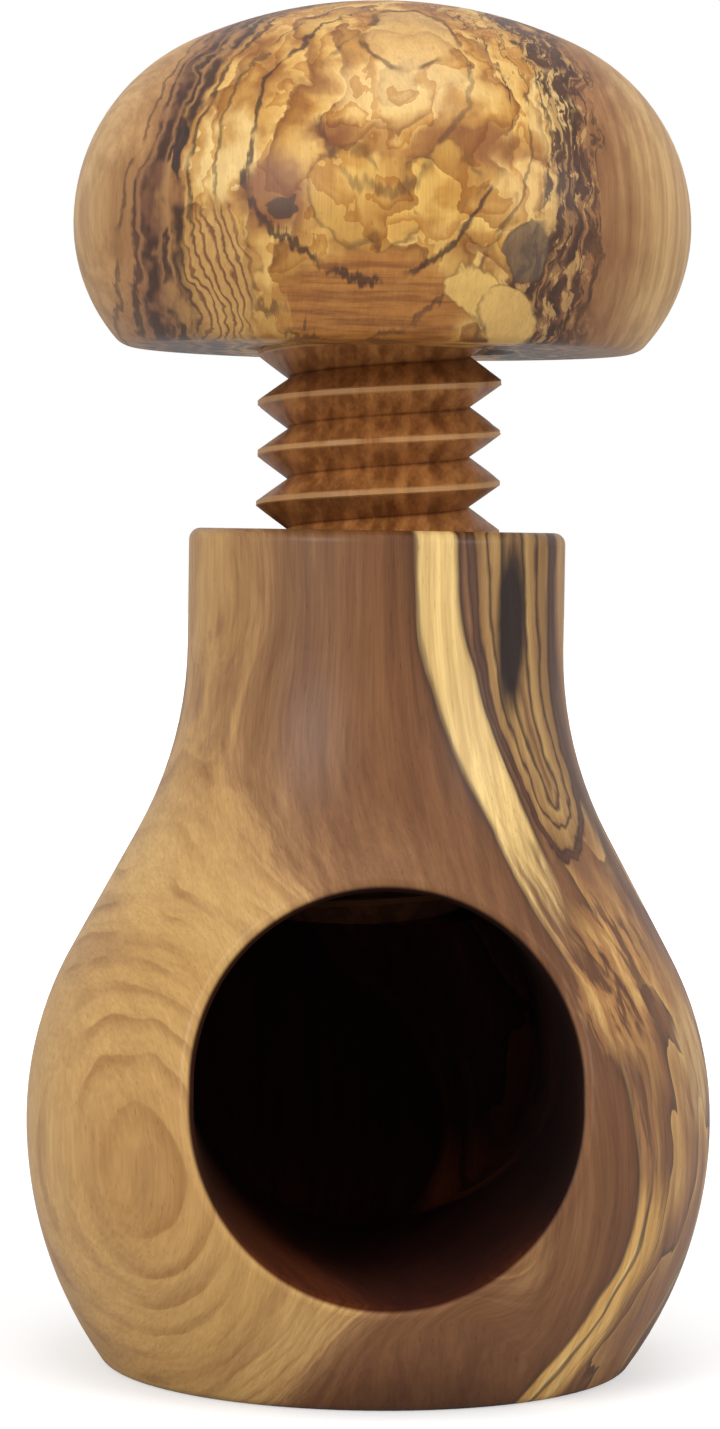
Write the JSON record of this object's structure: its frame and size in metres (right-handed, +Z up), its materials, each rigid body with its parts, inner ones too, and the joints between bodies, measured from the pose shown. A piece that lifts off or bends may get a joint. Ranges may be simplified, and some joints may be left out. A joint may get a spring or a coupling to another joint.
{
  "type": "nutcracker",
  "caption": "Turned wooden screw nutcracker: pear-shaped body with a round nut chamber, and a domed knob on a thick right-hand wooden screw that comes down through the neck.",
  "frame": {"origin": "centre of the flat base, on the surface the nutcracker stands on", "axes": "+Z up along the screw, -Y towards the mouth of the nut chamber, +X to the right as seen from the mouth"},
  "size_m": [0.0706, 0.0678, 0.1402],
  "materials": {
    "body_wood": "satin",
    "screw_wood": "satin",
    "knob_wood": "satin",
    "glue": "gloss"
  },
  "bodies": {
    "body": {"body": "body_wood"},
    "bond": {"glue_bond": "glue"},
    "screw_and_knob": {"screw": "screw_wood", "knob": "knob_wood"}
  },
  "joints": [
    {"name": "screw_travel", "type": "slide", "parent": "body", "child": "bond", "axis": [0, 0, 1], "range_m": [-0.0183, 0.03]},
    {"name": "screw_turn", "type": "hinge", "parent": "bond", "child": "screw_and_knob", "pos_m": [0, 0, 0], "axis": [0, 0, 1], "range_deg": [-1270, 2090]}
  ],
  "couplings": [
    {"joint": "screw_travel", "follows": "screw_turn", "m_per_rad": 0.00081965}
  ]
}
